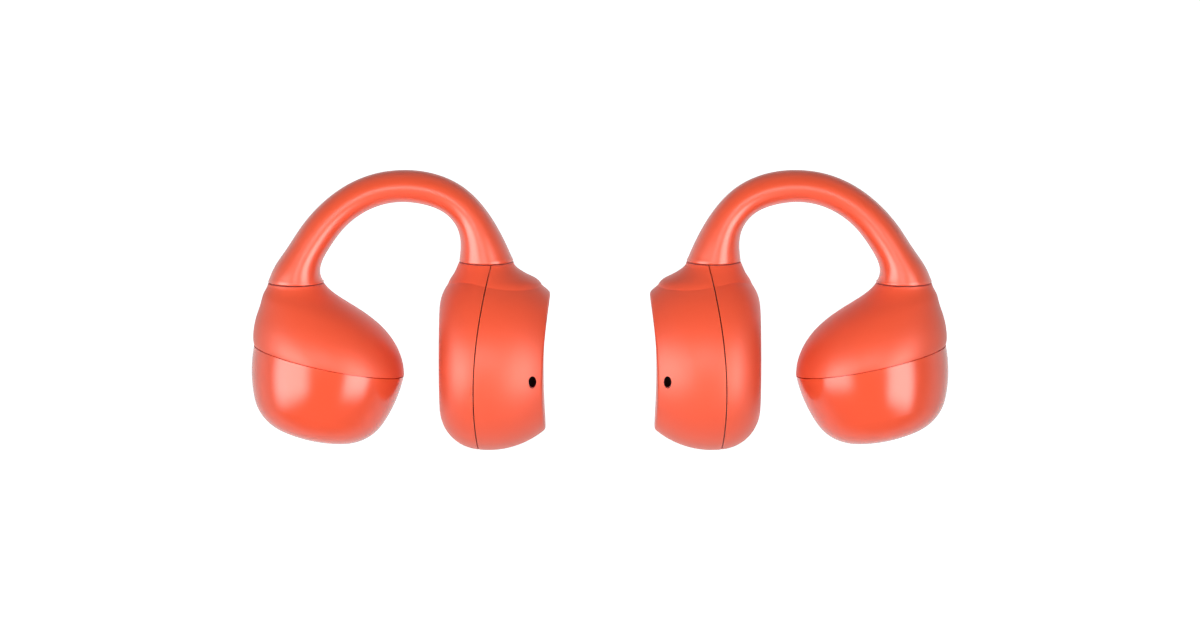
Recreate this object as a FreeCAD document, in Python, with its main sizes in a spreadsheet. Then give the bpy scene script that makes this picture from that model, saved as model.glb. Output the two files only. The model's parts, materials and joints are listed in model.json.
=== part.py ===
import FreeCAD, Part

import math
import os
import re

import Sketcher
from FreeCAD import Vector

# A pair of clip-on open-ear bone conduction earphones, one for each ear, side by side as they are worn.
# X runs across the pair, Y from front to back and Z up. The origin is midway between the two, level with the
# lowest point of the pods. Each earphone is a ball that holds the exciter and presses on the bowl of the ear,
# a springy bridge that goes over the edge of the ear, and a round pod behind the ear that holds the battery
# and the board. The left earphone, on the -X side, is modelled piece by piece, and the right one is its
# mirror image. x in the sheet is measured from the middle of the bridge, and ear_x carries it to the left
# earphone.

DIMENSIONS = [
    ("ear_x", -19.2, "middle of the left bridge, from the middle of the pair"),
    ("wall", 0.9, "moulded wall of the ball and the pod"),
    ("seam_gap", 0.1, "open line where two mouldings meet"),
    ("seam_depth", 0.3, "how deep that line is"),
    ("slip", 0.05, "clearance of a piece in its seat"),
    ("tool_past", 1.0, "how far a cutting tool runs past a face"),
    ("tool_long", 26.0, "length of a cutting tool that goes right through"),
    ("seal_thick", 0.35, "rubber seal inside a seam"),
    ("seal_half", 0.8, "seal to each side of its seam"),
    # Ball. Its own axis leans, and depths are measured down that axis from the seam.
    ("ball_x", -6.82, "centre of the ball's seam"),
    ("ball_z", 8.72, "height of that centre"),
    ("ball_tilt", 11.8, "lean of the ball's axis, degrees"),
    ("ball_radius", 7.35, "ball at its seam"),
    ("ball_side", 12.8, "arc of the ball's side"),
    ("ball_side_end_r", 6.29, "where the side turns into the corner"),
    ("ball_side_end_depth", 5.1, "depth of that place"),
    ("ball_corner", 4.3, "arc of the ball's lower corner"),
    ("ball_foot_r", 3.405, "where the corner turns into the foot"),
    ("ball_foot_depth", 7.554, "depth of that place"),
    ("ball_depth", 7.98, "seam to the tip of the foot"),
    ("ball_foot", 13.829, "arc of the foot"),
    ("ledge_depth", 3.3, "shelf that the exciter's frame stands on"),
    ("ledge_height", 0.8, "thickness of that shelf"),
    ("ledge_r", 4.75, "opening of that shelf"),
    # Pod, a disc on edge, turned about an axis along X.
    ("pod_z", 8.83, "height of the pod's axis"),
    ("pod_face_x", 3.8, "flat face that looks at the ball"),
    ("pod_face_r", 4.774, "radius of that face"),
    ("pod_corner", 4.0, "arc between the face and the crown"),
    ("pod_crown", 8.4, "arc of the crown"),
    ("pod_crown_x", 8.5, "centre of that arc, along the axis"),
    ("pod_crown_r", 0.43, "centre of that arc, off the axis"),
    ("pod_end_x", 14.6, "end of the turned form, before the hollow face is cut"),
    ("cavity_end_x", 12.85, "end of the pod's cavity"),
    ("hollow_x", 13.73, "deepest line of the hollow face, which looks at the head"),
    ("hollow_z", 7.0, "height of that line"),
    ("hollow_arc", 46.0, "arc of the hollow face"),
    ("hollow_edge", 0.5, "rounding of the hollow face's edge"),
    ("parting_x", 7.1, "foremost line of the pod's curved parting"),
    ("parting_z", 6.2, "height of that line"),
    ("parting_arc", 44.0, "arc of the parting"),
    ("post_r", 0.5, "posts that the board stands on"),
    ("post_ring", 5.2, "posts off the pod's axis"),
    ("rest_in", 3.0, "ring that the cell rests on, inside"),
    ("rest_out", 3.8, "ring that the cell rests on, outside"),
    # Bridge and what holds its ends.
    ("spigot_r", 1.7, "round spigots on the bridge's ends"),
    ("spigot_long", 1.9, "spigot inside its socket"),
    ("boss_r", 2.8, "boss round a socket, inside the shell"),
    ("boss_long", 1.4, "height of that boss"),
    ("ball_socket_x", -9.96, "centre of the ball's socket"),
    ("ball_socket_top", 16.1, "rim of the ball's neck"),
    ("ball_socket_seat", 13.1, "foot of the ball's socket"),
    ("pod_socket_x", 8.3, "centre of the pod's socket"),
    ("pod_socket_top", 18.15, "rim of the pod's neck"),
    ("pod_socket_seat", 15.6, "foot of the pod's socket"),
    ("wire_r", 0.35, "nickel-titanium spring wire"),
    ("lead_r", 0.18, "insulated lead"),
    ("lead_y", 0.9, "lead off the middle of the bridge"),
    ("strand_room", 0.12, "clearance round the wire and the leads in an anchor"),
    ("flange_r", 2.4, "flange of an anchor"),
    ("flange_thick", 0.5, "thickness of that flange"),
    # Exciter, by radius and by depth down the ball's axis.
    ("frame_r", 5.7, "frame, outside"),
    ("frame_bore", 5.15, "frame, inside"),
    ("frame_top", 0.9, "frame's upper face, where the leaf spring lies"),
    ("spring_thick", 0.15, "leaf spring"),
    ("slot_arc", 3.6, "arc of a slot in the leaf spring"),
    ("slot_off", 1.4, "centre of that arc off the axis"),
    ("slot_sweep", 117.0, "sweep of that arc, degrees"),
    ("slot_wide", 0.5, "width of a slot"),
    ("hub_r", 1.5, "yoke's boss under the leaf spring"),
    ("yoke_r", 4.45, "yoke, outside"),
    ("yoke_bore", 3.9, "yoke's skirt, inside"),
    ("yoke_top", 1.2, "yoke's closed end, outside"),
    ("yoke_floor", 2.0, "yoke's closed end, inside"),
    ("yoke_end", 4.0, "end of the skirt"),
    ("magnet_r", 2.9, "exciter magnet"),
    ("magnet_end", 3.4, "end of the exciter magnet"),
    ("pole_r", 3.0, "pole plate"),
    ("coil_in", 3.22, "voice coil, inside"),
    ("coil_out", 3.66, "voice coil, outside"),
    ("coil_top", 3.1, "voice coil's free end"),
    ("plate_r", 4.55, "drive plate"),
    ("plate_top", 4.9, "drive plate's upper face"),
    ("plate_end", 5.4, "drive plate's lower face"),
    ("plate_boss_r", 2.4, "boss that is bonded to the foot of the ball"),
    # Battery and electronics, along the pod's axis.
    ("cell_r", 5.8, "button cell"),
    ("cell_z", 8.3, "height of the cell's axis"),
    ("cell_x", 5.2, "cell's closed end"),
    ("cell_long", 4.9, "cell's can"),
    ("cell_round", 0.4, "rounding of the can's drawn edge"),
    ("cap_r", 4.9, "cell's cap"),
    ("cap_thick", 0.4, "how far the cap stands out of the can"),
    ("tab_wide", 2.0, "welded tab of the cell"),
    ("tab_thick", 0.15, "metal of a tab"),
    ("board_r", 6.0, "main board"),
    ("board_x", 11.0, "main board's near face"),
    ("board_thick", 0.6, "main board"),
    ("touch_thick", 0.12, "touch sensor's foil"),
    ("touch_x", 9.4, "near edge of that foil"),
    ("touch_end_x", 12.2, "far edge of that foil"),
    ("touch_y", 3.6, "front edge of that foil"),
    ("touch_z", 12.0, "lower edge of that foil"),
    ("touch_top", 15.2, "upper edge of that foil"),
    ("port_x", 12.77, "microphone port, along the pod's axis"),
    ("port_z", 7.55, "height of the microphone port"),
    ("port_half_wide", 0.37, "half width of the microphone port"),
    ("port_half_tall", 0.6, "half height of the microphone port"),
    ("mesh_y", -6.5, "outer face of the mesh in the port"),
    ("mesh_thick", 0.15, "that mesh"),
    ("contact_r", 0.8, "charging contact"),
    ("contact_x", 9.6, "charging contacts, along the pod's axis"),
    ("contact_z", 1.8, "charging contacts above and below the pod's axis"),
    ("contact_face", 8.4, "flat face of a charging contact"),
    ("contact_shoulder", 7.0, "where a contact narrows to its tail"),
    ("contact_tail", 6.2, "end of that tail"),
    ("dock_x", 8.5, "docking magnet's near end"),
    ("dock_long", 2.3, "docking magnet along the pod's axis"),
    ("dock_deep", 3.0, "docking magnet along Y"),
    ("dock_z", 1.25, "docking magnet's underside"),
    ("dock_tall", 1.15, "docking magnet's height"),
]

# Cross-sections, each an ellipse whose long half-axis runs along Y: x, z, turn about Y in degrees, half
# thickness and half depth.
SECTIONS = {
    "bridge": [
        (-9.96, 16.2, 0, 2.68, 3.12),
        (-9.83, 17.0, 10, 2.38, 3.0),
        (-9.47, 18.05, 22, 1.98, 2.85),
        (-8.15, 20.45, 35, 1.7, 2.6),
        (-6.35, 22.65, 46, 1.6, 2.4),
        (-4.27, 24.23, 60, 1.56, 2.28),
        (-1.9, 25.2, 75, 1.54, 2.24),
        (0.4, 25.48, 90, 1.54, 2.24),
        (2.75, 25.2, 106, 1.56, 2.26),
        (5.3, 24.06, 126, 1.54, 2.32),
        (6.95, 22.2, 146, 1.66, 2.5),
        (7.77, 20.3, 163, 2.03, 2.8),
        (8.3, 18.25, 180, 2.6, 3.1),
    ],
    "ball": [
        (-6.82, 8.72, 11.8, 7.35, 7.35),
        (-6.92, 9.7, 11.2, 7.33, 7.33),
        (-7.08, 10.8, 10.0, 7.04, 7.05),
        (-7.41, 12.0, 8.6, 6.45, 6.5),
        (-7.95, 13.25, 8.0, 5.53, 5.65),
        (-8.86, 14.4, 6.4, 4.36, 4.6),
        (-9.68, 15.4, 2.6, 3.2, 3.53),
        (-9.96, 16.1, 0, 2.7, 3.14),
    ],
    "neck": [
        (8.3, 18.15, 0, 2.62, 3.12),
        (8.3, 17.8, 0, 2.78, 3.36),
        (8.46, 17.35, 0, 3.13, 3.76),
        (8.74, 16.85, 0, 3.7, 4.27),
        (9.05, 16.3, 0, 4.34, 4.77),
        (9.1, 15.7, 0, 4.6, 5.15),
        (9.1, 15.0, 0, 4.7, 5.4),
    ],
}
FIELDS = ("x", "z", "turn", "thick", "deep")
CAVITY_SECTIONS = 5

# The wire runs on past the bridge into the anchors, and the leads go further, to the exciter and the board.
# Each place is x, z and turn about Y.
WIRE_FOOT = [(-9.96, 12.7, 0), (-9.96, 14.2, 0)]
WIRE_HEAD = [(8.3, 16.6, 180), (8.3, 15.2, 180)]
LEAD_FOOT = [
    (-12.2, 9.4, 5),
    (-11.8, 10.8, 28),
    (-10.6, 11.95, 42),
    (-9.96, 12.75, 0),
    (-9.96, 14.2, 0),
]
LEAD_HEAD = [
    (8.3, 16.6, 180),
    (8.3, 15.3, 180),
    (8.6, 14.75, 130),
    (9.2, 14.5, 95),
    (10.1, 14.47, 90),
    (10.95, 14.47, 90),
]

# Packages on the board: name, y, underside, thickness, width and height.
PACKAGES = [
    ("bluetooth_chip", 0.6, "pod_z - 1.6", 0.8, 4.0, 4.0),
    ("antenna", 0, "pod_z + 3.8", 0.9, 5.0, 1.2),
    ("microphone", -3.9, "port_z - 1", 0.95, 1.9, 2.2),
]
# Small parts on the board: y, height off the pod's axis, thickness, width and height.
SMALL_PARTS = [
    (3.6, -3.4, 0.5, 1.6, 0.8),
    (1.4, -3.6, 0.4, 1.0, 0.5),
    (-0.4, -3.2, 0.4, 1.0, 0.5),
    (4.4, -0.4, 0.4, 0.5, 1.0),
    (-2.7, 1.3, 0.6, 2.0, 1.6),
    (-4.7, 0.2, 0.4, 0.5, 1.0),
]
POST_ANGLES = (30, 150, 270)
SPRING_SLOTS = 3

NOTHING = 1e-9
TOUCHING = 0.001
SAMPLES = 5
FUNCTIONS = {"sqrt", "sin", "cos", "vector", "rotation", "placement"}
ROUND, HOLLOW = 1, -1
ORIGIN_POINT = (-1, 1)
X_AXIS, Y_AXIS = -1, -2

doc = FreeCAD.newDocument("ClipEarphones")
sheet = doc.addObject("Spreadsheet::Sheet", "Dimensions")
left = {}


def fill_sheet():
    """One row for each driving dimension, and one row of five cells for each cross-section."""
    for row, (name, value, meaning) in enumerate(DIMENSIONS, 1):
        sheet.set(f"A{row}", meaning)
        sheet.set(f"B{row}", str(value))
        sheet.setAlias(f"B{row}", name)
    row = len(DIMENSIONS) + 2
    for family, sections in SECTIONS.items():
        for number, section in enumerate(sections):
            sheet.set(f"A{row}", f"{family} section {number}")
            for column, field, value in zip("BCDEF", FIELDS, section):
                sheet.set(f"{column}{row}", str(value))
                sheet.setAlias(f"{column}{row}", f"{family}{number}_{field}")
            row += 1
    doc.recompute()


def cells(formula):
    """The formula with each dimension's name made a reference to its cell."""
    def reference(word):
        return word[0] if word[0] in FUNCTIONS else "Dimensions." + word[0]

    return re.sub(r"[a-z]\w*", reference, str(formula))


def amount(formula):
    """What a formula comes to with the dimensions as they stand."""
    return float(sheet.evalExpression(cells(formula)))


def bind(thing, **formulas):
    """Ties properties to formulas of the sheet's dimensions."""
    for name, formula in formulas.items():
        thing.setExpression(name, cells(formula))
    return thing


def place(thing, x, y, z, turn=0, spin=0):
    """Puts a thing at a point of the left earphone, spun about its own Z and then turned about Y."""
    frame = f"rotation(vector(0; 1; 0); {turn}) * rotation(vector(0; 0; 1); {spin})"
    return bind(thing, Placement=f"placement(vector(ear_x + {x}; {y}; {z}); {frame})")


def place_back(thing, x, y, z):
    """Puts a thing at a point of the left earphone with its own Z pointing to the back, along +Y."""
    return bind(thing, Placement=f"placement(vector(ear_x + {x}; {y}; {z}); rotation(vector(1; 0; 0); -90))")


def primitive(kind, name, **formulas):
    """A Part primitive with its sizes tied to the sheet."""
    return bind(doc.addObject("Part::" + kind, name), **formulas)


def cylinder(name, radius, height):
    return primitive("Cylinder", name, Radius=radius, Height=height)


def block(name, x, y, z, long, deep, tall):
    """A box from x and z upwards, centred on y."""
    box = primitive("Box", name, Length=long, Width=deep, Height=tall)
    return place(box, x, f"{y} - ({deep}) / 2", z)


def cut(name, base, *tools):
    """The base with each tool cut away in turn."""
    for number, tool in enumerate(tools):
        result = doc.addObject("Part::Cut", f"{name}_cut{number}")
        result.Base, result.Tool = base, tool
        base = result
    return base


def fuse(name, *parts):
    result = doc.addObject("Part::MultiFuse", name)
    result.Shapes = list(parts)
    return result


def common(name, base, tool):
    result = doc.addObject("Part::Common", name)
    result.Base, result.Tool = base, tool
    return result


def group(name, parts):
    """Several separate solids in one sub-part."""
    result = doc.addObject("Part::Compound", name)
    result.Links = parts
    return result


def loft(name, rings):
    """A smooth solid through the rings."""
    result = doc.addObject("Part::Loft", name)
    result.Sections = rings
    result.Solid = True
    return result


def skin(name, family, inset=0, count=None):
    """A loft through a family's cross-sections, drawn in by the inset."""
    rings = []
    for number in range(count or len(SECTIONS[family])):
        key = f"{family}{number}_"
        sizes = {"MajorRadius": f"{key}deep - {inset}", "MinorRadius": f"{key}thick - {inset}"}
        ring = primitive("Ellipse", f"{name}_{number}", **sizes)
        rings.append(place(ring, key + "x", 0, key + "z", key + "turn", 90))
    return loft(name, rings)


def strand(name, radius, y, foot, head):
    """A round strand along the bridge's middle line, with its own run at each end."""
    middle = [[f"bridge{n}_{field}" for field in FIELDS[:3]] for n in range(len(SECTIONS["bridge"]))]
    rings = []
    for number, (x, z, turn) in enumerate(foot + middle + head):
        ring = primitive("Circle", f"{name}_{number}", Radius=radius)
        rings.append(place(ring, x, y, z, turn))
    return loft(name, rings)


def origin_plane(body, role):
    return next(plane for plane in body.Origin.OriginFeatures if plane.Role == role)


def sketch_on(body, name, role):
    sketch = body.newObject("Sketcher::SketchObject", name)
    sketch.AttachmentSupport = [(origin_plane(body, role), "")]
    sketch.MapMode = "FlatFace"
    return sketch


def arc_edge(start, end, side, radius):
    """The short arc from start to end. Its centre is to the left if it is round, else to the right."""
    chord = end - start
    left_hand = Vector(-chord.y, chord.x, 0).normalize()
    centre = (start + end) * 0.5 + left_hand * side * math.sqrt(radius**2 - chord.Length**2 / 4)
    ends = (start, end) if side == ROUND else (end, start)
    angles = [math.atan2(point.y - centre.y, point.x - centre.x) for point in ends]
    return Part.ArcOfCircle(Part.Circle(centre, Vector(0, 0, 1), radius), *angles)


def bound_constraint(sketch, formula, *what):
    number = sketch.addConstraint(Sketcher.Constraint(*what, amount(formula)))
    sketch.setExpression(f"Constraints[{number}]", cells(formula))


def outline(sketch, corners):
    """A closed outline, drawn anticlockwise.

    A corner is x and y and, where an arc leads to the next one, the arc's side and radius.
    """
    points = [Vector(amount(corner[0]), amount(corner[1]), 0) for corner in corners]
    ends = []
    for number, corner in enumerate(corners):
        start, end = points[number], points[(number + 1) % len(points)]
        if len(corner) > 2:
            geometry = sketch.addGeometry(arc_edge(start, end, corner[2], amount(corner[3])), False)
        else:
            geometry = sketch.addGeometry(Part.LineSegment(start, end), False)
        ends.append((geometry, 2, 1) if corner[2:3] == (HOLLOW,) else (geometry, 1, 2))
    for number, (geometry, first, last) in enumerate(ends):
        following = ends[(number + 1) % len(ends)]
        sketch.addConstraint(Sketcher.Constraint("Coincident", geometry, last, following[0], following[1]))
        corner = corners[number]
        for kind, formula, axis in (("DistanceX", corner[0], Y_AXIS), ("DistanceY", corner[1], X_AXIS)):
            if abs(amount(formula)) < NOTHING:
                sketch.addConstraint(Sketcher.Constraint("PointOnObject", geometry, first, axis))
            else:
                bound_constraint(sketch, formula, kind, *ORIGIN_POINT, geometry, first)
        if len(corner) > 2:
            bound_constraint(sketch, corner[3], "Radius", geometry)


def turned(name, corners):
    """A body turned about its own Z from an outline in radius and height."""
    body = doc.addObject("PartDesign::Body", name)
    sketch = sketch_on(body, name + "_outline", "XZ_Plane")
    outline(sketch, corners)
    spin = body.newObject("PartDesign::Revolution", name + "_turned")
    spin.Profile = sketch
    spin.ReferenceAxis = (sketch, ["V_Axis"])
    spin.Angle = 360
    body.Tip = spin
    return body


def in_ball(body):
    """Sets a turned body on the ball's axis, where a depth below the seam is a height below nought."""
    return place(body, "ball_x", 0, "ball_z", "ball_tilt")


def ball_ring(name, inside, outside, top, end):
    """A ring on the ball's axis between two radii and two depths, or a disc if the inside is 0."""
    corners = [(inside, f"-({end})"), (outside, f"-({end})"), (outside, f"-({top})"), (inside, f"-({top})")]
    return in_ball(turned(name, corners))


def pod_disc(name, x, z, radius, thick):
    """A disc across the pod's axis, from x towards the head."""
    return place(cylinder(name, radius, thick), x, 0, z, 90)


def ball_lower_shell():
    """The glossy cup: side, corner and foot arcs, the same arcs a wall further in, and the shelf."""
    side_centre = "(ball_radius - ball_side)"
    inner_side = "(ball_side - wall)"
    foot_centre = "(ball_depth - ball_foot)"
    side_share = f"({inner_side} / ball_side)"
    foot_share = "((ball_foot - wall) / ball_foot)"
    shelf_end = "(ledge_depth + ledge_height)"
    corners = [
        (0, "-ball_depth", ROUND, "ball_foot"),
        ("ball_foot_r", "-ball_foot_depth", ROUND, "ball_corner"),
        ("ball_side_end_r", "-ball_side_end_depth", ROUND, "ball_side"),
        (f"{side_centre} + sqrt(ball_side^2 - seam_gap^2)", "-seam_gap"),
        ("ball_radius - seam_depth", "-seam_gap"),
        ("ball_radius - seam_depth", 0),
        ("ball_radius - wall", 0, HOLLOW, inner_side),
        (f"{side_centre} + sqrt({inner_side}^2 - ledge_depth^2)", "-ledge_depth"),
        ("ledge_r", "-ledge_depth"),
        ("ledge_r", f"-{shelf_end}"),
        (f"{side_centre} + sqrt({inner_side}^2 - {shelf_end}^2)", f"-{shelf_end}", HOLLOW, inner_side),
        (
            f"{side_centre} + (ball_side_end_r - {side_centre}) * {side_share}",
            f"-ball_side_end_depth * {side_share}",
            HOLLOW,
            "ball_corner - wall",
        ),
        (
            f"ball_foot_r * {foot_share}",
            f"-({foot_centre} + (ball_foot_depth - {foot_centre}) * {foot_share})",
            HOLLOW,
            "ball_foot - wall",
        ),
        (0, "-(ball_depth - wall)"),
    ]
    left["ball_lower_shell"] = in_ball(turned("ball_cup", corners))


def socket_and_boss(where):
    """The boss round a bridge end's socket, and the bore that cuts it."""
    seat = (f"{where}_socket_x", 0, f"{where}_socket_seat")
    boss = cylinder(f"{where}_boss", "boss_r", "boss_long")
    depth = f"{where}_socket_top - {where}_socket_seat + tool_past"
    bore = cylinder(f"{where}_socket", "spigot_r + slip", depth)
    return place(boss, *seat), place(bore, *seat)


def ball_upper_shell():
    """The matt shoulder: hollow over the exciter, and solid round the socket that the bridge goes into."""
    boss, bore = socket_and_boss("ball")
    cavity = skin("ball_hollow", "ball", "wall", CAVITY_SECTIONS)
    hollow = cut("ball_shoulder", skin("ball_skin", "ball"), cavity)
    left["ball_upper_shell"] = cut("ball_neck", fuse("ball_bossed", hollow, boss), bore)


def ball_seal():
    """A rubber ring pressed against both walls inside the ball's seam."""
    inside = "ball_radius - wall - seal_thick"
    blank = ball_ring("ball_seal_blank", inside, "ball_radius - seam_depth - slip", "-seal_half", "seal_half")
    left["ball_seal"] = cut("ball_seal", blank, left["ball_upper_shell"], left["ball_lower_shell"])


def pod_form(name, inset, end_x="pod_end_x"):
    """The pod's turned form drawn in by the inset: a flat face, corner and crown arcs and a flat end."""
    reach = "(pod_crown - pod_corner)"
    corner = f"(pod_corner - ({inset}))"
    crown = f"(pod_crown - ({inset}))"
    corners = [
        (0, f"pod_face_x + {inset}"),
        ("pod_face_r", f"pod_face_x + {inset}", ROUND, corner),
        (
            f"pod_face_r + {corner} * (pod_face_r - pod_crown_r) / {reach}",
            f"pod_face_x + pod_corner + {corner} * (pod_face_x + pod_corner - pod_crown_x) / {reach}",
            ROUND,
            crown,
        ),
        (f"pod_crown_r + sqrt({crown}^2 - ({end_x} - pod_crown_x)^2)", end_x),
        (0, end_x),
    ]
    return place(turned(name, corners), 0, 0, "pod_z", 90)


def across(name, arc, x, z, grown=0):
    """A long cylinder along Y, with its foremost line at x and z before it is grown on its own axis."""
    return place_back(cylinder(name, f"{arc} + {grown}", "tool_long"), f"{x} + {arc}", "-tool_long / 2", z)


def parting_cylinder(name, grown):
    """The curved parting surface as a cylinder along Y, grown or shrunk on its own axis."""
    return across(name, "parting_arc", "parting_x", "parting_z", grown)


def rounded_hollow_edge(solid):
    """The solid with the edge where its hollow face meets its crown rounded."""
    doc.recompute()
    axis_x = amount("ear_x + hollow_x + hollow_arc")
    axis_z = amount("hollow_z")
    on_hollow = []
    for number, edge in enumerate(solid.Shape.Edges, 1):
        points = [] if edge.Degenerated else edge.discretize(SAMPLES)
        gaps = [abs(math.hypot(point.x - axis_x, point.z - axis_z) - sheet.hollow_arc) for point in points]
        if gaps and max(gaps) < TOUCHING:
            on_hollow.append((number, sheet.hollow_edge, sheet.hollow_edge))
    result = doc.addObject("Part::Fillet", "pod_rounded")
    result.Base = solid
    result.Edges = on_hollow
    return result


def board_posts():
    """Posts on the head side of the pod that the board is screwed down on."""
    posts = []
    for angle in POST_ANGLES:
        post = cylinder(f"post_{angle}", "post_r", "cavity_end_x - board_x - board_thick + slip")
        y = f"post_ring * cos({angle})"
        z = f"pod_z + post_ring * sin({angle})"
        posts.append(place(post, "board_x + board_thick", y, z, 90))
    return posts


def cell_rest():
    """A ring inside the pod's flat face that the cell rests on."""
    start = "pod_face_x + wall / 2"
    rim = pod_disc("rest_rim", start, "cell_z", "rest_out", f"cell_x - ({start})")
    bore = pod_disc("rest_bore", start, "cell_z", "rest_in", "cell_x - pod_face_x")
    return cut("cell_rest", rim, bore)


def pod_blank():
    """The pod before it is parted: scooped, hollowed, bored for the bridge and pierced."""
    form = fuse("pod_outside", pod_form("pod_turned", 0), skin("pod_neck", "neck"))
    scooped = cut("pod_scooped", form, across("pod_scoop", "hollow_arc", "hollow_x", "hollow_z"))
    boss, bore = socket_and_boss("pod")
    cavity = pod_form("pod_cavity", "wall", "cavity_end_x")
    bossed = fuse("pod_bossed", cut("pod_hollow", rounded_hollow_edge(scooped), cavity), boss)
    return cut("pod_whole", bossed, bore, dock_magnet(), *contact_bores(), port("port_bore"))


def pod_shells():
    """The pod's two mouldings, parted on a curved surface that also splits the neck.

    The fine open line between them is in the head side alone, as deep as the seam.
    """
    whole = pod_blank()
    core_neck = skin("pod_core_neck", "neck", "seam_depth")
    core = fuse("pod_core", pod_form("pod_core_turned", "seam_depth"), core_neck)
    head_skin = common("pod_head_skin", whole, parting_cylinder("skin_split", "-seam_gap"))
    core_whole = common("pod_core_whole", whole, core)
    head_core = common("pod_head_core", core_whole, parting_cylinder("core_split", 0))
    head_half = fuse("pod_head_half", head_skin, head_core)
    ear_half = cut("pod_ear", whole, parting_cylinder("ear_split", 0))
    left["pod_head_shell"] = fuse("pod_head_side", head_half, *board_posts())
    left["pod_ear_shell"] = fuse("pod_ear_side", ear_half, cell_rest())


def pod_lining(name, thick):
    """A layer of the given thickness all over the inside of the pod."""
    outside = pod_form(f"{name}_out", "wall", "cavity_end_x")
    inside = pod_form(f"{name}_in", f"wall + {thick}", "cavity_end_x")
    return cut(name, outside, inside)


def pod_seal():
    """A rubber band inside the pod to each side of the parting, with a gap for the socket's boss."""
    lining = pod_lining("seal_lining", "seal_thick")
    outside = parting_cylinder("slab_out", "seal_half")
    slab = cut("seal_slab", outside, parting_cylinder("slab_in", "-seal_half"))
    boss = cylinder("seal_gap", "boss_r + slip", "boss_long * 2")
    place(boss, "pod_socket_x", 0, "pod_socket_seat - slip")
    left["pod_seal"] = cut("pod_seal", common("pod_band", lining, slab), boss)


def anchor(where):
    """A plug glued up into the socket from inside: flange, stem, and holes for the wire and the leads."""
    top = f"{where}_socket_top - {where}_socket_seat - spigot_long - slip"
    corners = [
        (0, "-flange_thick"),
        ("flange_r", "-flange_thick"),
        ("flange_r", 0),
        ("spigot_r", 0),
        ("spigot_r", top),
        (0, top),
    ]
    plug = place(turned(f"{where}_plug", corners), f"{where}_socket_x", 0, f"{where}_socket_seat")
    holes = []
    for name, radius, y in (
        ("wire", "wire_r", 0),
        ("front_lead", "lead_r", "-lead_y"),
        ("back_lead", "lead_r", "lead_y"),
    ):
        hole = cylinder(f"{where}_{name}_hole", f"{radius} + strand_room", "spigot_long * 2")
        holes.append(place(hole, f"{where}_socket_x", y, f"{where}_socket_seat - spigot_long"))
    left[f"{where}_anchor"] = cut(f"{where}_anchor", plug, *holes)


def bridge():
    """The rubber sleeve with a spigot at each end, moulded round the spring wire and the two leads."""
    left["memory_wire"] = strand("wire", "wire_r", 0, WIRE_FOOT, WIRE_HEAD)
    leads = []
    for name, y in (("front_lead", "-lead_y"), ("back_lead", "lead_y")):
        leads.append(strand(name, "lead_r", y, LEAD_FOOT, LEAD_HEAD))
    left["bridge_leads"] = group("bridge_leads", leads)
    spigots = []
    for where in ("ball", "pod"):
        spigot = cylinder(f"{where}_spigot", "spigot_r", "spigot_long + seam_gap + slip")
        spigots.append(place(spigot, f"{where}_socket_x", 0, f"{where}_socket_top - spigot_long"))
    blank = fuse("sleeve_blank", skin("sleeve_skin", "bridge"), *spigots)
    left["bridge_sleeve"] = cut("sleeve", blank, left["memory_wire"], *leads)


def exciter_rings():
    """The plain rings and discs of the exciter."""
    left["exciter_frame"] = ball_ring("exciter_frame", "frame_bore", "frame_r", "frame_top", "ledge_depth")
    left["exciter_magnet"] = ball_ring("exciter_magnet", 0, "magnet_r", "yoke_floor", "magnet_end")
    left["exciter_pole_plate"] = ball_ring("pole_plate", 0, "pole_r", "magnet_end", "yoke_end")
    left["exciter_voice_coil"] = ball_ring("voice_coil", "coil_in", "coil_out", "coil_top", "plate_top")


def exciter_yoke():
    """A steel cup, open downwards, with a boss on its closed end for the leaf spring."""
    corners = [
        (0, "-yoke_floor"),
        ("yoke_bore", "-yoke_floor"),
        ("yoke_bore", "-yoke_end"),
        ("yoke_r", "-yoke_end"),
        ("yoke_r", "-yoke_top"),
        ("hub_r", "-yoke_top"),
        ("hub_r", "-frame_top"),
        (0, "-frame_top"),
    ]
    left["exciter_yoke"] = in_ball(turned("exciter_yoke", corners))


def exciter_drive_plate():
    """A plate that carries the coil, with a boss whose curved end is bonded inside the foot of the ball."""
    foot_arc = "(ball_foot - wall - slip)"
    corners = [
        (0, "-(ball_depth - wall - slip)", ROUND, foot_arc),
        ("plate_boss_r", f"-(ball_depth - ball_foot + sqrt({foot_arc}^2 - plate_boss_r^2))"),
        ("plate_boss_r", "-plate_end"),
        ("plate_r", "-plate_end"),
        ("plate_r", "-plate_top"),
        (0, "-plate_top"),
    ]
    left["exciter_drive_plate"] = in_ball(turned("drive_plate", corners))


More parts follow.
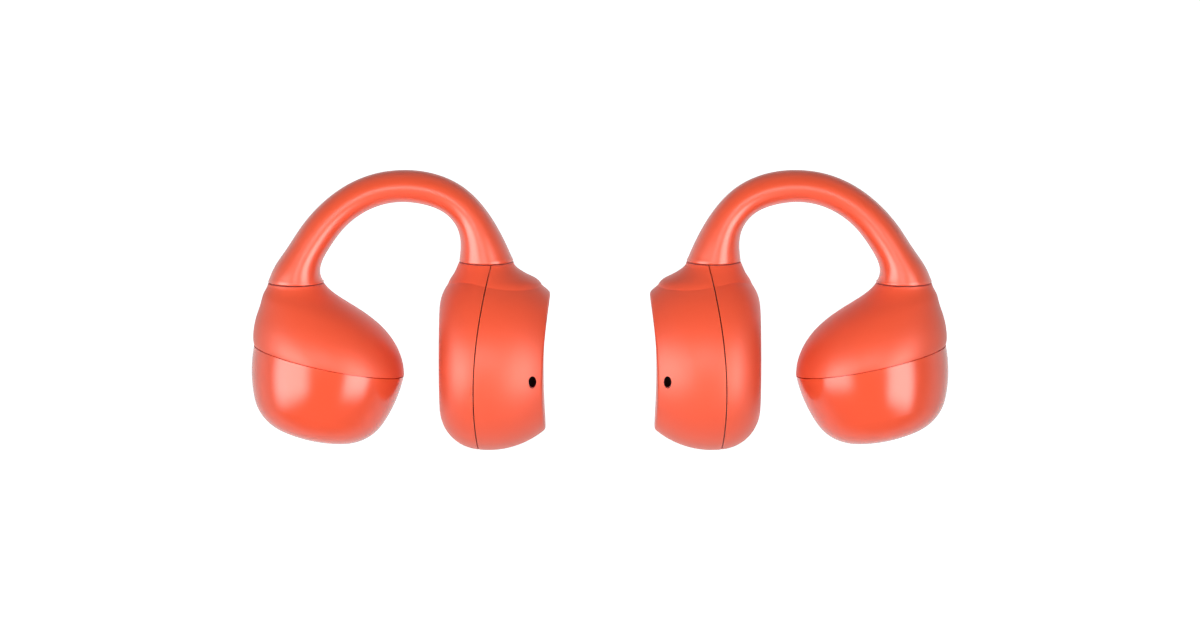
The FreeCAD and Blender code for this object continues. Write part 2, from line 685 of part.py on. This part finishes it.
def exciter_leaf_spring():
    """A steel disc with three spiral slots, which lets the yoke and magnet bounce along the ball's axis."""
    body = doc.addObject("PartDesign::Body", "leaf_spring")
    disc = sketch_on(body, "spring_disc", "XY_Plane")
    disc.addGeometry(Part.Circle(Vector(0, 0, 0), Vector(0, 0, 1), amount("frame_r")), False)
    disc.addConstraint(Sketcher.Constraint("Coincident", 0, 3, *ORIGIN_POINT))
    bound_constraint(disc, "frame_r", "Radius", 0)
    pad = body.newObject("PartDesign::Pad", "spring_sheet")
    pad.Profile = disc
    bind(pad, Length="spring_thick")
    slot = sketch_on(body, "spring_slot", "XY_Plane")
    near, far = "(slot_arc - slot_wide / 2)", "(slot_arc + slot_wide / 2)"
    corners = [
        (f"{near} - slot_off", 0),
        (f"{far} - slot_off", 0, ROUND, far),
        (f"{far} * cos(slot_sweep) - slot_off", f"{far} * sin(slot_sweep)"),
        (f"{near} * cos(slot_sweep) - slot_off", f"{near} * sin(slot_sweep)", HOLLOW, near),
    ]
    outline(slot, corners)
    pocket = body.newObject("PartDesign::Pocket", "slot_pocket")
    pocket.Profile = slot
    pocket.Type = "ThroughAll"
    pocket.Reversed = True
    pattern = body.newObject("PartDesign::PolarPattern", "slots")
    pattern.Originals = [pocket]
    pattern.Axis = (slot, ["N_Axis"])
    pattern.Angle = 360
    pattern.Occurrences = SPRING_SLOTS
    body.Tip = pattern
    place(body, "ball_x - frame_top * sin(ball_tilt)", 0, "ball_z - frame_top * cos(ball_tilt)", "ball_tilt")
    left["exciter_leaf_spring"] = body


def battery():
    """A sealed button cell with its cap towards the board, and a welded tab from each pole to the board."""
    corners = [
        (0, 0),
        ("cell_r - cell_round", 0, ROUND, "cell_round"),
        ("cell_r", "cell_round"),
        ("cell_r", "cell_long"),
        (0, "cell_long"),
    ]
    left["battery_can"] = place(turned("battery_can", corners), "cell_x", 0, "cell_z", 90)
    can_face = "cell_x + cell_long"
    left["battery_cap"] = pod_disc("battery_cap", can_face, "cell_z", "cap_r", "cap_thick")
    cap_pole = ("cap_tab", f"{can_face} + cap_thick", "cell_z")
    can_pole = ("can_tab", can_face, "cell_z - (cap_r + cell_r) / 2")
    tabs = []
    for name, face, z in (cap_pole, can_pole):
        tabs.append(block(name, face, 0, z, f"board_x - ({face})", "tab_wide", "tab_thick"))
    left["battery_tabs"] = group("battery_tabs", tabs)


def board():
    """A round board across the pod, with its packages and small parts on the side nearest the head."""
    left["main_board"] = pod_disc("main_board", "board_x", "pod_z", "board_r", "board_thick")
    face = "board_x + board_thick"
    for name, y, z, thick, wide, tall in PACKAGES:
        left[name] = block(name, face, y, z, thick, wide, tall)
    parts = []
    for number, (y, rise, thick, wide, tall) in enumerate(SMALL_PARTS):
        parts.append(block(f"small_part_{number}", face, y, f"pod_z + {rise}", thick, wide, tall))
    left["board_parts"] = group("board_parts", parts)


def port_oval(name, start, length):
    """An upright oval of the port's size, carried back along Y from the start."""
    ring = primitive("Ellipse", name + "_oval", MajorRadius="port_half_tall", MinorRadius="port_half_wide")
    upright = "rotation(vector(1; 0; 0); -90) * rotation(vector(0; 0; 1); 90)"
    bind(ring, Placement=f"placement(vector(ear_x + port_x; {start}; port_z); {upright})")
    result = doc.addObject("Part::Extrusion", name)
    result.Base = ring
    result.DirMode = "Custom"
    result.Dir = Vector(0, 1, 0)
    result.Solid = True
    return bind(result, LengthFwd=length)


def port(name):
    """The microphone port through the front of the pod's wall."""
    return port_oval(name, "-pod_crown", "pod_crown + mesh_y + wall")


def mic_mesh():
    """A fine steel mesh across the port."""
    left["mic_mesh"] = port_oval("mic_mesh", "mesh_y", "mesh_thick")


def touch_sensor():
    """A foil on the inside of the back of the pod's crown, where a finger reaches it behind the ear."""
    deep = "(tool_long / 2 - touch_y)"
    wide = "touch_end_x - touch_x"
    middle = f"touch_y + {deep} / 2"
    patch = block("foil_patch", "touch_x", middle, "touch_z", wide, deep, "touch_top - touch_z")
    left["touch_sensor"] = common("touch_sensor", pod_lining("foil_lining", "touch_thick"), patch)


def dock_magnet():
    """The magnet that pulls the pod into its charging case, let into the bottom wall."""
    magnet = block("docking_magnet", "dock_x", 0, "dock_z", "dock_long", "dock_deep", "dock_tall")
    left["docking_magnet"] = magnet
    return magnet


def contact_heights():
    return ("pod_z - contact_z", "pod_z + contact_z")


def contact_bores():
    """A round hole for each charging contact through the back of the pod."""
    bores = []
    for number, z in enumerate(contact_heights()):
        bore = cylinder(f"contact_bore_{number}", "contact_r", "tool_long / 2 - contact_shoulder")
        bores.append(place_back(bore, "contact_x", "contact_shoulder", z))
    return bores


def charging_contacts():
    """Two gold-plated pins, flat outside and narrow inside, in the back of the pod."""
    pins = []
    for number, z in enumerate(contact_heights()):
        corners = [
            (0, "contact_tail"),
            ("contact_r / 3", "contact_tail"),
            ("contact_r / 3", "contact_shoulder"),
            ("contact_r", "contact_shoulder"),
            ("contact_r", "contact_face"),
            (0, "contact_face"),
        ]
        pins.append(place_back(turned(f"contact_{number}", corners), "contact_x", 0, z))
    left["charging_contacts"] = group("charging_contacts", pins)


def mirrored(source, name):
    """The right earphone's copy of a piece."""
    result = doc.addObject("Part::Mirroring", name)
    result.Source = source
    result.Normal = (1, 0, 0)
    result.Base = (0, 0, 0)
    return result


def finished_pieces():
    """Every sub-part of both earphones, labelled with its own name."""
    pieces = []
    for name, thing in left.items():
        thing.Label = "left_" + name
        twin = mirrored(thing, name + "_twin")
        twin.Label = "right_" + name
        pieces += [thing, twin]
    doc.recompute()
    return pieces


def check_document(pieces):
    """Stops if any object failed to build or any sub-part isn't a valid solid."""
    for thing in doc.Objects:
        if {"Invalid", "Error"} & set(thing.State):
            raise RuntimeError(f"{thing.Name} did not build: {thing.State}")
    for thing in pieces:
        if thing.Shape.isNull() or not thing.Shape.isValid() or not thing.Shape.Solids:
            raise RuntimeError(f"{thing.Label} is not a valid solid")


def write_pieces(pieces):
    os.makedirs("parts", exist_ok=True)
    for thing in pieces:
        thing.Shape.exportStep(f"parts/{thing.Label}.step")
        print(f"{thing.Label}: {len(thing.Shape.Solids)} solid, {thing.Shape.Volume:.2f} mm3")


fill_sheet()
ball_lower_shell()
ball_upper_shell()
ball_seal()
anchor("ball")
exciter_rings()
exciter_yoke()
exciter_drive_plate()
exciter_leaf_spring()
bridge()
pod_shells()
pod_seal()
anchor("pod")
battery()
board()
mic_mesh()
touch_sensor()
charging_contacts()
pieces = finished_pieces()
check_document(pieces)
write_pieces(pieces)
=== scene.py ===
import json
import math

import bpy
import numpy as np
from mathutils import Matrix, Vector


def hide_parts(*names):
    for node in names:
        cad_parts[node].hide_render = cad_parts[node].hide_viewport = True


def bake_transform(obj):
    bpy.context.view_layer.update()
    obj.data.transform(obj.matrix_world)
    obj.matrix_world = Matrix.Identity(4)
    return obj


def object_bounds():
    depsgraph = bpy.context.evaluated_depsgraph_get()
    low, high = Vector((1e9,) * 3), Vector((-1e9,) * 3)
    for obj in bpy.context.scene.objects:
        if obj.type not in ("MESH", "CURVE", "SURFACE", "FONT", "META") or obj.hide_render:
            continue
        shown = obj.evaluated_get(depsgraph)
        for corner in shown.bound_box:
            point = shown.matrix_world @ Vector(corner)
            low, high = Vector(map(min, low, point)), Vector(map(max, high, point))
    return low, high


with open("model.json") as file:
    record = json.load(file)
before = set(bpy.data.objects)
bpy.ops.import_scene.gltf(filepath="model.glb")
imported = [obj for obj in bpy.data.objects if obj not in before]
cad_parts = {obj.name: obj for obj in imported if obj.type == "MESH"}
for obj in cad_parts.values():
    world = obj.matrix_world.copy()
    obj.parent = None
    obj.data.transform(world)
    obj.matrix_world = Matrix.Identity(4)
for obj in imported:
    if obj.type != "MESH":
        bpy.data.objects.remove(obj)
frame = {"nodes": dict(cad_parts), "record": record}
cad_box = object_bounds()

# Looks of a pair of clip-on bone conduction earphones, built round the imported model. The moulded shells,
# the exciter and the electronics keep their CAD shapes and get their finishes here. The bridge's sleeve,
# spring wire and leads are made again as surfaces, in place of their CAD nodes.

MM = 0.001
SIDES = {"left": 1, "right": -1}

# Bridge of the left earphone. Each station is x, z, turn about Y in degrees, half thickness and half
# depth, in mm, with x measured from the middle of the bridge.
EAR_X = -19.2
STATIONS = np.array([
    (-9.96, 16.2, 0, 2.68, 3.12),
    (-9.83, 17.0, 10, 2.38, 3.0),
    (-9.47, 18.05, 22, 1.98, 2.85),
    (-8.15, 20.45, 35, 1.7, 2.6),
    (-6.35, 22.65, 46, 1.6, 2.4),
    (-4.27, 24.23, 60, 1.56, 2.28),
    (-1.9, 25.2, 75, 1.54, 2.24),
    (0.4, 25.48, 90, 1.54, 2.24),
    (2.75, 25.2, 106, 1.56, 2.26),
    (5.3, 24.06, 126, 1.54, 2.32),
    (6.95, 22.2, 146, 1.66, 2.5),
    (7.77, 20.3, 163, 2.03, 2.8),
    (8.3, 18.25, 180, 2.6, 3.1),
])
SPIGOT_R = 1.7
SPIGOT_FOOT_Z = 14.2
SPIGOT_HEAD_Z = 16.25
EDGE_ROUND = 0.12
WIRE_R = 0.35
LEAD_R = 0.18
LEAD_Y = 0.9
WIRE_FOOT = np.array([(-9.96, 12.7, 0), (-9.96, 14.2, 0)])
WIRE_HEAD = np.array([(8.3, 16.6, 180), (8.3, 15.2, 180)])
LEAD_FOOT = np.array([
    (-12.2, 9.4, 5),
    (-11.8, 10.8, 28),
    (-10.6, 11.95, 42),
    (-9.96, 12.75, 0),
    (-9.96, 14.2, 0),
])
LEAD_HEAD = np.array([
    (8.3, 16.6, 180),
    (8.3, 15.3, 180),
    (8.6, 14.75, 130),
    (9.2, 14.5, 95),
    (10.1, 14.47, 90),
    (10.95, 14.47, 90),
])

# How finely the remade bridge pieces are meshed: rings along the piece, and points round each ring.
SLEEVE_MESH = (150, 96)
WIRE_MESH = (120, 16)
LEAD_MESH = (160, 12)
CORNER_STEPS = 6
SHARP_ANGLE = 50

# Colours of the mouldings, and how many spots of each slow stain lie along a metre.
CORAL = (0.9, 0.1, 0.04)
CORAL_GLOSS = (0.9, 0.092, 0.034)
CORAL_SOFT = (0.9, 0.1, 0.038)
DRIFT_PER_M = 190.0
PATCH_PER_M = 620.0
BLOOM_PER_M = 450.0

# Softboxes: name, azimuth, elevation, distance, width, height and power, and whether it lights or shines.
SOFTBOXES = [
    ("left_softbox", -58, -8, 0.5, 0.72, 0.56, 7.8, "shines"),
    ("right_softbox", 45, -10, 0.5, 0.5, 0.7, 7.6, "shines"),
    ("front_fill", -6, 8, 0.6, 0.5, 0.4, 8.0, "lights"),
    ("back_fill", 165, 15, 0.6, 0.5, 0.4, 3.0, "lights"),
]
RIM_SHARE = 0.32


# ---------------------------------------------------------------- shapes

def spline(knots, rows, at):
    """A natural cubic spline through the rows, read at the given places.

    The bends at the knots solve the usual tridiagonal system, in which both end bends are nought, and each
    span is its two ends' straight mix plus the cubic terms of their bends.
    """
    gaps = np.diff(knots)
    count = len(knots)
    system = np.eye(count)
    inner = np.arange(1, count - 1)
    system[inner, inner - 1] = gaps[:-1]
    system[inner, inner] = 2 * (gaps[:-1] + gaps[1:])
    system[inner, inner + 1] = gaps[1:]
    slopes = np.diff(rows, axis=0) / gaps[:, None]
    right = np.zeros_like(rows)
    right[1:-1] = 6 * np.diff(slopes, axis=0)
    bends = np.linalg.solve(system, right)
    span = np.clip(np.searchsorted(knots, at, side="right") - 1, 0, count - 2)
    gap = gaps[span][:, None]
    near = (knots[span + 1] - at)[:, None] / gap
    far = 1 - near
    cubic = ((near**3 - near) * bends[span] + (far**3 - far) * bends[span + 1]) * gap**2 / 6
    return near * rows[span] + far * rows[span + 1] + cubic


def along(rows, count):
    """Rows spread evenly along the line that a spline draws through the stations' x and z."""
    knots = np.concatenate([[0], np.cumsum(np.hypot(*np.diff(rows[:, :2], axis=0).T))])
    return spline(knots, rows, np.linspace(0, knots[-1], count))


def ring_surface(name, rings, side, around, y=0.0):
    """A closed skin carried along a row of rings, put into a mesh as one grid.

    Ring i has a centre (x, z), a turn and two half-axes a and b. Its point at angle p is the centre plus
    a cos p along (cos turn, 0, -sin turn) plus b sin p along Y. The first and last rings shrink to one point
    each. The right earphone's skin has x reversed and its faces wound the other way, so both face outwards.
    """
    x, z, turn, a, b = rings.T
    turn = np.radians(turn)
    angle = np.linspace(0, 2 * np.pi, around, endpoint=False)
    out = np.outer(a, np.cos(angle))
    points = np.stack([
        EAR_X + x[:, None] + out * np.cos(turn)[:, None],
        y + np.outer(b, np.sin(angle)),
        z[:, None] - out * np.sin(turn)[:, None],
    ], axis=-1)
    points[..., 0] *= side
    body = points[1:-1].reshape(-1, 3)
    ends = points[[0, -1], 0]
    rows = len(rings) - 2
    here = np.arange(rows * around).reshape(rows, around)
    next_round = np.roll(here, -1, axis=1)
    quads = np.stack([here[:-1], next_round[:-1], next_round[1:], here[1:]], axis=-1).reshape(-1, 4)
    first, last = rows * around, rows * around + 1
    caps = [np.stack([np.full(around, first), next_round[0], here[0]], axis=-1),
            np.stack([np.full(around, last), here[-1], next_round[-1]], axis=-1)]
    faces = [face[::side] for face in quads.tolist() + caps[0].tolist() + caps[1].tolist()]
    mesh = bpy.data.meshes.new(name)
    mesh.from_pydata((np.concatenate([body, ends]) * MM).tolist(), [], faces)
    mesh.update()
    mesh.shade_smooth()
    mesh.set_sharp_from_angle(angle=math.radians(SHARP_ANGLE))
    piece = bpy.data.objects.new(name, mesh)
    bpy.context.scene.collection.objects.link(piece)
    return piece


def rounded_end(station, inward):
    """Rings that round the sleeve's end edge over a quarter circle, from its flat end face to its skin."""
    x, z, turn, a, b = station
    quarter = np.radians(np.linspace(0, 90, CORNER_STEPS))
    back = EDGE_ROUND * (1 - np.sin(quarter))
    rise = EDGE_ROUND * (1 - np.cos(quarter))
    ones = np.ones_like(quarter)
    return np.stack([x * ones, z + inward * rise, turn * ones, a - back, b - back], axis=-1)


def sleeve_rings():
    """Spigot, end face, rounded edge and skin from the ball to the pod, and the same in reverse."""
    skin = along(STATIONS, SLEEVE_MESH[0])
    foot, head = STATIONS[0], STATIONS[-1]
    foot_rings = ((SPIGOT_FOOT_Z, 0), (SPIGOT_FOOT_Z, SPIGOT_R), (foot[1], SPIGOT_R))
    head_rings = ((head[1], SPIGOT_R), (SPIGOT_HEAD_Z, SPIGOT_R), (SPIGOT_HEAD_Z, 0))
    low = np.array([(foot[0], z, 0, r, r) for z, r in foot_rings])
    high = np.array([(head[0], z, 180, r, r) for z, r in head_rings])
    return np.concatenate([low, rounded_end(foot, 1), skin[2:-2], rounded_end(head, 1)[::-1], high])


def strand_rings(radius, foot, head, count):
    """A round strand along the bridge's middle line, with its own run at each end."""
    line = along(np.concatenate([foot, STATIONS[:, :3], head]), count)
    width = np.full((count, 2), radius)
    ends = np.zeros((1, 2))
    return np.concatenate([
        np.hstack([line[:1], ends]), np.hstack([line, width]), np.hstack([line[-1:], ends])])


def bendy(piece, node, material):
    """Gives a piece its finish, hides the CAD node it stands in for, and bakes its placement into its mesh.
    """
    piece.data.materials.append(material)
    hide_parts(node)
    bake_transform(piece)


# ---------------------------------------------------------------- finishes

SKIN_OUTPUTS = [("Colour", "Color"), ("Roughness", "Float"), ("Normal", "Vector")]


def node_group(name, inputs, outputs):
    """A shader node group with named sockets. Inputs are name, kind and default."""
    made = bpy.data.node_groups.new(name, "ShaderNodeTree")
    for label, kind, default in inputs:
        socket = made.interface.new_socket(label, in_out="INPUT", socket_type="NodeSocket" + kind)
        if default is not None:
            socket.default_value = default
    for label, kind in outputs:
        made.interface.new_socket(label, in_out="OUTPUT", socket_type="NodeSocket" + kind)
    return made, made.nodes.new("NodeGroupInput"), made.nodes.new("NodeGroupOutput")


def put(tree, kind, inputs=None, **settings):
    """A node with its settings, and its inputs set to a value or linked to a socket."""
    node = tree.nodes.new("ShaderNode" + kind)
    for key, value in settings.items():
        setattr(node, key, value)
    for key, value in (inputs or {}).items():
        if isinstance(value, bpy.types.NodeSocket):
            tree.links.new(value, node.inputs[key])
        else:
            node.inputs[key].default_value = value
    return node


def math_node(tree, operation, *values):
    """The output of a Math node on values or sockets."""
    return put(tree, "Math", dict(enumerate(values)), operation=operation).outputs[0]


def mixed(tree, share, first, second):
    """One colour turning into another by a share."""
    node = tree.nodes.new("ShaderNodeMix")
    node.data_type = "RGBA"
    sockets = {socket.name: socket for socket in node.inputs if socket.enabled}
    for name, value in (("Factor", share), ("A", first), ("B", second)):
        tree.links.new(value, sockets[name])
    return next(socket for socket in node.outputs if socket.enabled)


def wavering(tree, noise, amount, middle):
    """A value that wavers round its middle, by an amount times how far the noise is from a half."""
    swing = math_node(tree, "SUBTRACT", noise.outputs["Fac"], 0.5)
    return math_node(tree, "MULTIPLY_ADD", swing, amount, middle)


def make_moulded_skin():
    """Colour, roughness and normal of a moulded surface.

    The spark-eroded grain is fine noise. A slow noise makes the colour drift and another makes the gloss
    uneven.
    """
    tree, given, result = node_group("moulded_skin", [
        ("Place", "Vector", None), ("Colour", "Color", (1, 1, 1, 1)), ("Colour Drift", "Float", 0.04),
        ("Roughness", "Float", 0.4), ("Gloss Drift", "Float", 0.05), ("Grain Size mm", "Float", 0.1),
        ("Grain Depth mm", "Float", 0.004)], SKIN_OUTPUTS)
    give = given.outputs
    slow = put(tree, "TexNoise", {"Vector": give["Place"], "Scale": DRIFT_PER_M, "Detail": 3.0})
    drift = wavering(tree, slow, give["Colour Drift"], 1.0)
    scaled = put(tree, "VectorMath", {0: give["Colour"], "Scale": drift}, operation="SCALE")
    patch = put(tree, "TexNoise", {"Vector": give["Place"], "Scale": PATCH_PER_M, "Detail": 4.0})
    gloss = wavering(tree, patch, give["Gloss Drift"], give["Roughness"])
    size = math_node(tree, "DIVIDE", 1000.0, give["Grain Size mm"])
    grain = put(tree, "TexNoise", {"Vector": give["Place"], "Scale": size, "Detail": 2.0, "Roughness": 0.6})
    depth = math_node(tree, "MULTIPLY", give["Grain Depth mm"], MM)
    height = math_node(tree, "MULTIPLY", grain.outputs["Fac"], depth)
    bump = put(tree, "Bump", {"Height": height, "Distance": 1.0, "Strength": 1.0})
    tree.links.new(scaled.outputs[0], result.inputs["Colour"])
    tree.links.new(gloss, result.inputs["Roughness"])
    tree.links.new(bump.outputs["Normal"], result.inputs["Normal"])
    return tree


def make_drawn_metal():
    """Colour, roughness and normal of drawn or plated metal: long fine scratches, and a slow tarnish."""
    tree, given, result = node_group("drawn_metal", [
        ("Place", "Vector", None), ("Colour", "Color", (0.7, 0.7, 0.7, 1)),
        ("Tarnish", "Color", (0.4, 0.35, 0.3, 1)), ("Tarnish Amount", "Float", 0.25),
        ("Roughness", "Float", 0.25), ("Scratch Depth mm", "Float", 0.003)], SKIN_OUTPUTS)
    give = given.outputs
    stretched = put(tree, "Mapping", {"Vector": give["Place"], "Scale": (900.0, 9000.0, 900.0)})
    scratch = put(tree, "TexNoise", {"Vector": stretched.outputs[0], "Scale": 1.0, "Detail": 3.0})
    bloom = put(tree, "TexNoise", {"Vector": give["Place"], "Scale": BLOOM_PER_M, "Detail": 5.0})
    stain = put(tree, "MapRange", {"Value": bloom.outputs["Fac"], "From Min": 0.45, "From Max": 0.7})
    share = math_node(tree, "MULTIPLY", stain.outputs[0], give["Tarnish Amount"])
    colour = mixed(tree, share, give["Colour"], give["Tarnish"])
    rough = math_node(tree, "MULTIPLY_ADD", share, 0.4, give["Roughness"])
    depth = math_node(tree, "MULTIPLY", give["Scratch Depth mm"], MM)
    height = math_node(tree, "MULTIPLY", scratch.outputs["Fac"], depth)
    bump = put(tree, "Bump", {"Height": height, "Distance": 1.0})
    tree.links.new(colour, result.inputs["Colour"])
    tree.links.new(rough, result.inputs["Roughness"])
    tree.links.new(bump.outputs["Normal"], result.inputs["Normal"])
    return tree


def finish_with(name, group, inputs, metallic=0.0, **sockets):
    """A material that gets colour, roughness and normal from a group, with its constants on the shader."""
    material = bpy.data.materials.new(name)
    material.use_nodes = True
    tree = material.node_tree
    shader = tree.nodes["Principled BSDF"]
    place = put(tree, "TexCoord")
    effect = put(tree, "Group", node_tree=group)
    tree.links.new(place.outputs["Object"], effect.inputs["Place"])
    for key, value in inputs.items():
        effect.inputs[key].default_value = (*value, 1) if isinstance(value, tuple) else value
    for source, target in (("Colour", "Base Color"), ("Roughness", "Roughness"), ("Normal", "Normal")):
        tree.links.new(effect.outputs[source], shader.inputs[target])
    shader.inputs["Metallic"].default_value = metallic
    for key, value in sockets.items():
        shader.inputs[key.replace("_", " ")].default_value = value
    return material


def make_finishes():
    """One material for each of the record's slots."""
    skin, metal = make_moulded_skin(), make_drawn_metal()

    def moulded(name, colour, roughness, grain, depth, **sockets):
        inputs = {"Colour": colour, "Roughness": roughness, "Grain Size mm": grain, "Grain Depth mm": depth}
        return finish_with(name, skin, inputs, **sockets)

    def plated(name, colour, tarnish, amount, roughness, scratch):
        inputs = {"Colour": colour, "Tarnish": tarnish, "Tarnish Amount": amount, "Roughness": roughness,
                  "Scratch Depth mm": scratch}
        return finish_with(name, metal, inputs, metallic=1.0)

    return {
        "matt_shell": moulded("matt_shell", CORAL, 0.42, 0.12, 0.006,
                              Sheen_Weight=0.12, Sheen_Roughness=0.3),
        "gloss_shell": moulded("gloss_shell", CORAL_GLOSS, 0.19, 0.6, 0.0006,
                               Coat_Weight=0.3, Coat_Roughness=0.15),
        "soft_sleeve": moulded("soft_sleeve", CORAL_SOFT, 0.34, 0.2, 0.003,
                               Coat_Weight=0.7, Coat_Roughness=0.26),
        "seal_rubber": moulded("seal_rubber", (0.02, 0.02, 0.022), 0.6, 0.15, 0.01),
        "nylon": moulded("nylon", (0.03, 0.03, 0.033), 0.5, 0.08, 0.008),
        "spring_steel": plated("spring_steel", (0.62, 0.62, 0.63), (0.4, 0.36, 0.3), 0.2, 0.22, 0.003),
        "magnet": plated("magnet", (0.7, 0.69, 0.66), (0.5, 0.46, 0.4), 0.15, 0.12, 0.001),
        "copper": plated("copper", (0.75, 0.32, 0.16), (0.3, 0.12, 0.07), 0.4, 0.3, 0.004),
        "board": moulded("board", (0.01, 0.09, 0.045), 0.3, 0.5, 0.01),
        "chip": moulded("chip", (0.018, 0.018, 0.02), 0.55, 0.06, 0.006),
        "ceramic": moulded("ceramic", (0.38, 0.32, 0.25), 0.45, 0.1, 0.006),
        "dark_mesh": plated("dark_mesh", (0.02, 0.02, 0.022), (0.01, 0.01, 0.01), 0.5, 0.5, 0.01),
        "gold": plated("gold", (0.9, 0.62, 0.26), (0.6, 0.35, 0.12), 0.15, 0.18, 0.002),
    }


def dress_cad_nodes(finishes):
    """Gives every CAD node the finish of its slot."""
    for row in frame["record"]["subparts"]:
        mesh = frame["nodes"][row["node"]].data
        mesh.materials.clear()
        mesh.materials.append(finishes[row["material_slot"]])


def make_bridges(finishes):
    """The sleeve, spring wire and two leads of each earphone, as pieces in place of their CAD nodes."""
    for name, side in SIDES.items():
        sleeve = ring_surface(f"{name}_sleeve_skin", sleeve_rings(), side, SLEEVE_MESH[1])
        bendy(sleeve, f"{name}_bridge_sleeve", finishes["soft_sleeve"])
        rings = strand_rings(WIRE_R, WIRE_FOOT, WIRE_HEAD, WIRE_MESH[0])
        wire = ring_surface(f"{name}_spring_wire", rings, side, WIRE_MESH[1])
        bendy(wire, f"{name}_memory_wire", finishes["spring_steel"])
        rings = strand_rings(LEAD_R, LEAD_FOOT, LEAD_HEAD, LEAD_MESH[0])
        for label, y in (("front", -LEAD_Y), ("back", LEAD_Y)):
            lead = ring_surface(f"{name}_{label}_lead", rings, side, LEAD_MESH[1], y)
            bendy(lead, f"{name}_bridge_leads", finishes["copper"])


# ---------------------------------------------------------------- stage

def plain(name, colour, roughness):
    material = bpy.data.materials.new(name)
    material.use_nodes = True
    shader = material.node_tree.nodes["Principled BSDF"]
    shader.inputs["Base Color"].default_value = (*colour, 1)
    shader.inputs["Roughness"].default_value = roughness
    shader.inputs["Emission Color"].default_value = (1, 1, 1, 1)
    return material


def make_floor():
    """A wide pale floor, far below the earphones, which hang because they can't stand by themselves."""
    half, drop, seen_glow, unseen_glow = 12.0, -0.5, 1.0, 0.2
    mesh = bpy.data.meshes.new("floor")
    corners = [(-half, -half, drop), (half, -half, drop), (half, half, drop), (-half, half, drop)]
    mesh.from_pydata(corners, [], [(0, 1, 2, 3)])
    pale = plain("pale_floor", (0.9, 0.9, 0.9), 0.9)
    tree = pale.node_tree
    seen = put(tree, "LightPath").outputs["Is Camera Ray"]
    glow = math_node(tree, "MULTIPLY_ADD", seen, seen_glow - unseen_glow, unseen_glow)
    tree.links.new(glow, tree.nodes["Principled BSDF"].inputs["Emission Strength"])
    mesh.materials.append(pale)
    floor = bpy.data.objects.new("floor", mesh)
    bpy.context.scene.collection.objects.link(floor)
    floor.visible_glossy = False


def fade_edges(light):
    """Makes a softbox bright in its middle and dark at its rim, as a lamp behind cloth is."""
    light.use_nodes = True
    tree = light.node_tree
    spot = put(tree, "SeparateXYZ", {0: put(tree, "NewGeometry").outputs["Parametric"]})
    shares = []
    for way in ("X", "Y"):
        inputs = {"Value": math_node(tree, "PINGPONG", spot.outputs[way], 0.5), "From Max": RIM_SHARE}
        shares.append(put(tree, "MapRange", inputs, interpolation_type="SMOOTHSTEP").outputs["Result"])
    tree.links.new(math_node(tree, "MULTIPLY", *shares), tree.nodes["Emission"].inputs["Strength"])


def softbox(name, azimuth, elevation, distance, wide, tall, power, role):
    """An area light that looks at the middle of the earphones.

    Azimuth is from straight in front, to the right. One that shines only shows in the gloss, and one that
    lights doesn't show in it.
    """
    light = bpy.data.lights.new(name, "AREA")
    light.shape = "RECTANGLE"
    light.size, light.size_y, light.energy = wide, tall, power
    lamp = bpy.data.objects.new(name, light)
    bpy.context.scene.collection.objects.link(lamp)
    a, e = math.radians(azimuth), math.radians(elevation)
    middle = (cad_box[0] + cad_box[1]) / 2
    way = type(middle)((math.sin(a) * math.cos(e), -math.cos(a) * math.cos(e), math.sin(e)))
    lamp.location = middle + way * distance
    lamp.rotation_euler = way.to_track_quat("Z", "Y").to_euler()
    fade_edges(light)
    lamp.visible_diffuse = role == "lights"
    lamp.visible_glossy = role == "shines"


def make_surround():
    """A room that is bright behind the earphones, dimmer overhead and in front, and white to the camera."""
    world = bpy.data.worlds.new("surround")
    world.use_nodes = True
    tree = world.node_tree
    background = tree.nodes["Background"]
    way = put(tree, "SeparateXYZ", {"Vector": put(tree, "TexCoord").outputs["Generated"]})
    behind = put(tree, "MapRange", {"Value": way.outputs["Y"], "From Min": -0.25, "From Max": 0.35,
                                    "To Min": 0.16, "To Max": 0.9}, interpolation_type="SMOOTHSTEP")
    above = put(tree, "MapRange", {"Value": way.outputs["Z"], "From Min": 0.05, "From Max": 0.6,
                                   "To Min": 1.0, "To Max": 0.3}, interpolation_type="SMOOTHSTEP")
    room = math_node(tree, "MULTIPLY", behind.outputs["Result"], above.outputs["Result"])
    seen = put(tree, "LightPath").outputs["Is Camera Ray"]
    strength = put(tree, "Mix", {"Factor": seen, "A": room, "B": 1.0}, data_type="FLOAT")
    tree.links.new(strength.outputs["Result"], background.inputs["Strength"])
    background.inputs["Color"].default_value = (1, 1, 1, 1)
    bpy.context.scene.world = world


def make_light():
    """Two tall softboxes in front that show in the gloss, and two even fills."""
    make_surround()
    for row in SOFTBOXES:
        softbox(*row)
    bpy.context.scene.view_settings.view_transform = "Standard"


def make_camera():
    """A long lens a little above the earphones. The frame is 115.2 mm wide where they hang."""
    elevation, focal, frame_width, aim_height = math.radians(7.5), 200.0, 0.1152, 0.01302
    data = bpy.data.cameras.new("camera")
    data.lens = focal
    camera = bpy.data.objects.new("camera", data)
    bpy.context.scene.collection.objects.link(camera)
    distance = frame_width * focal / data.sensor_width
    camera.location = (0, -distance * math.cos(elevation), aim_height + distance * math.sin(elevation))
    camera.rotation_euler = (math.pi / 2 - elevation, 0, 0)
    bpy.context.scene.camera = camera


make_camera()
make_light()
make_floor()
finishes = make_finishes()
dress_cad_nodes(finishes)
make_bridges(finishes)

bpy.context.view_layer.update()
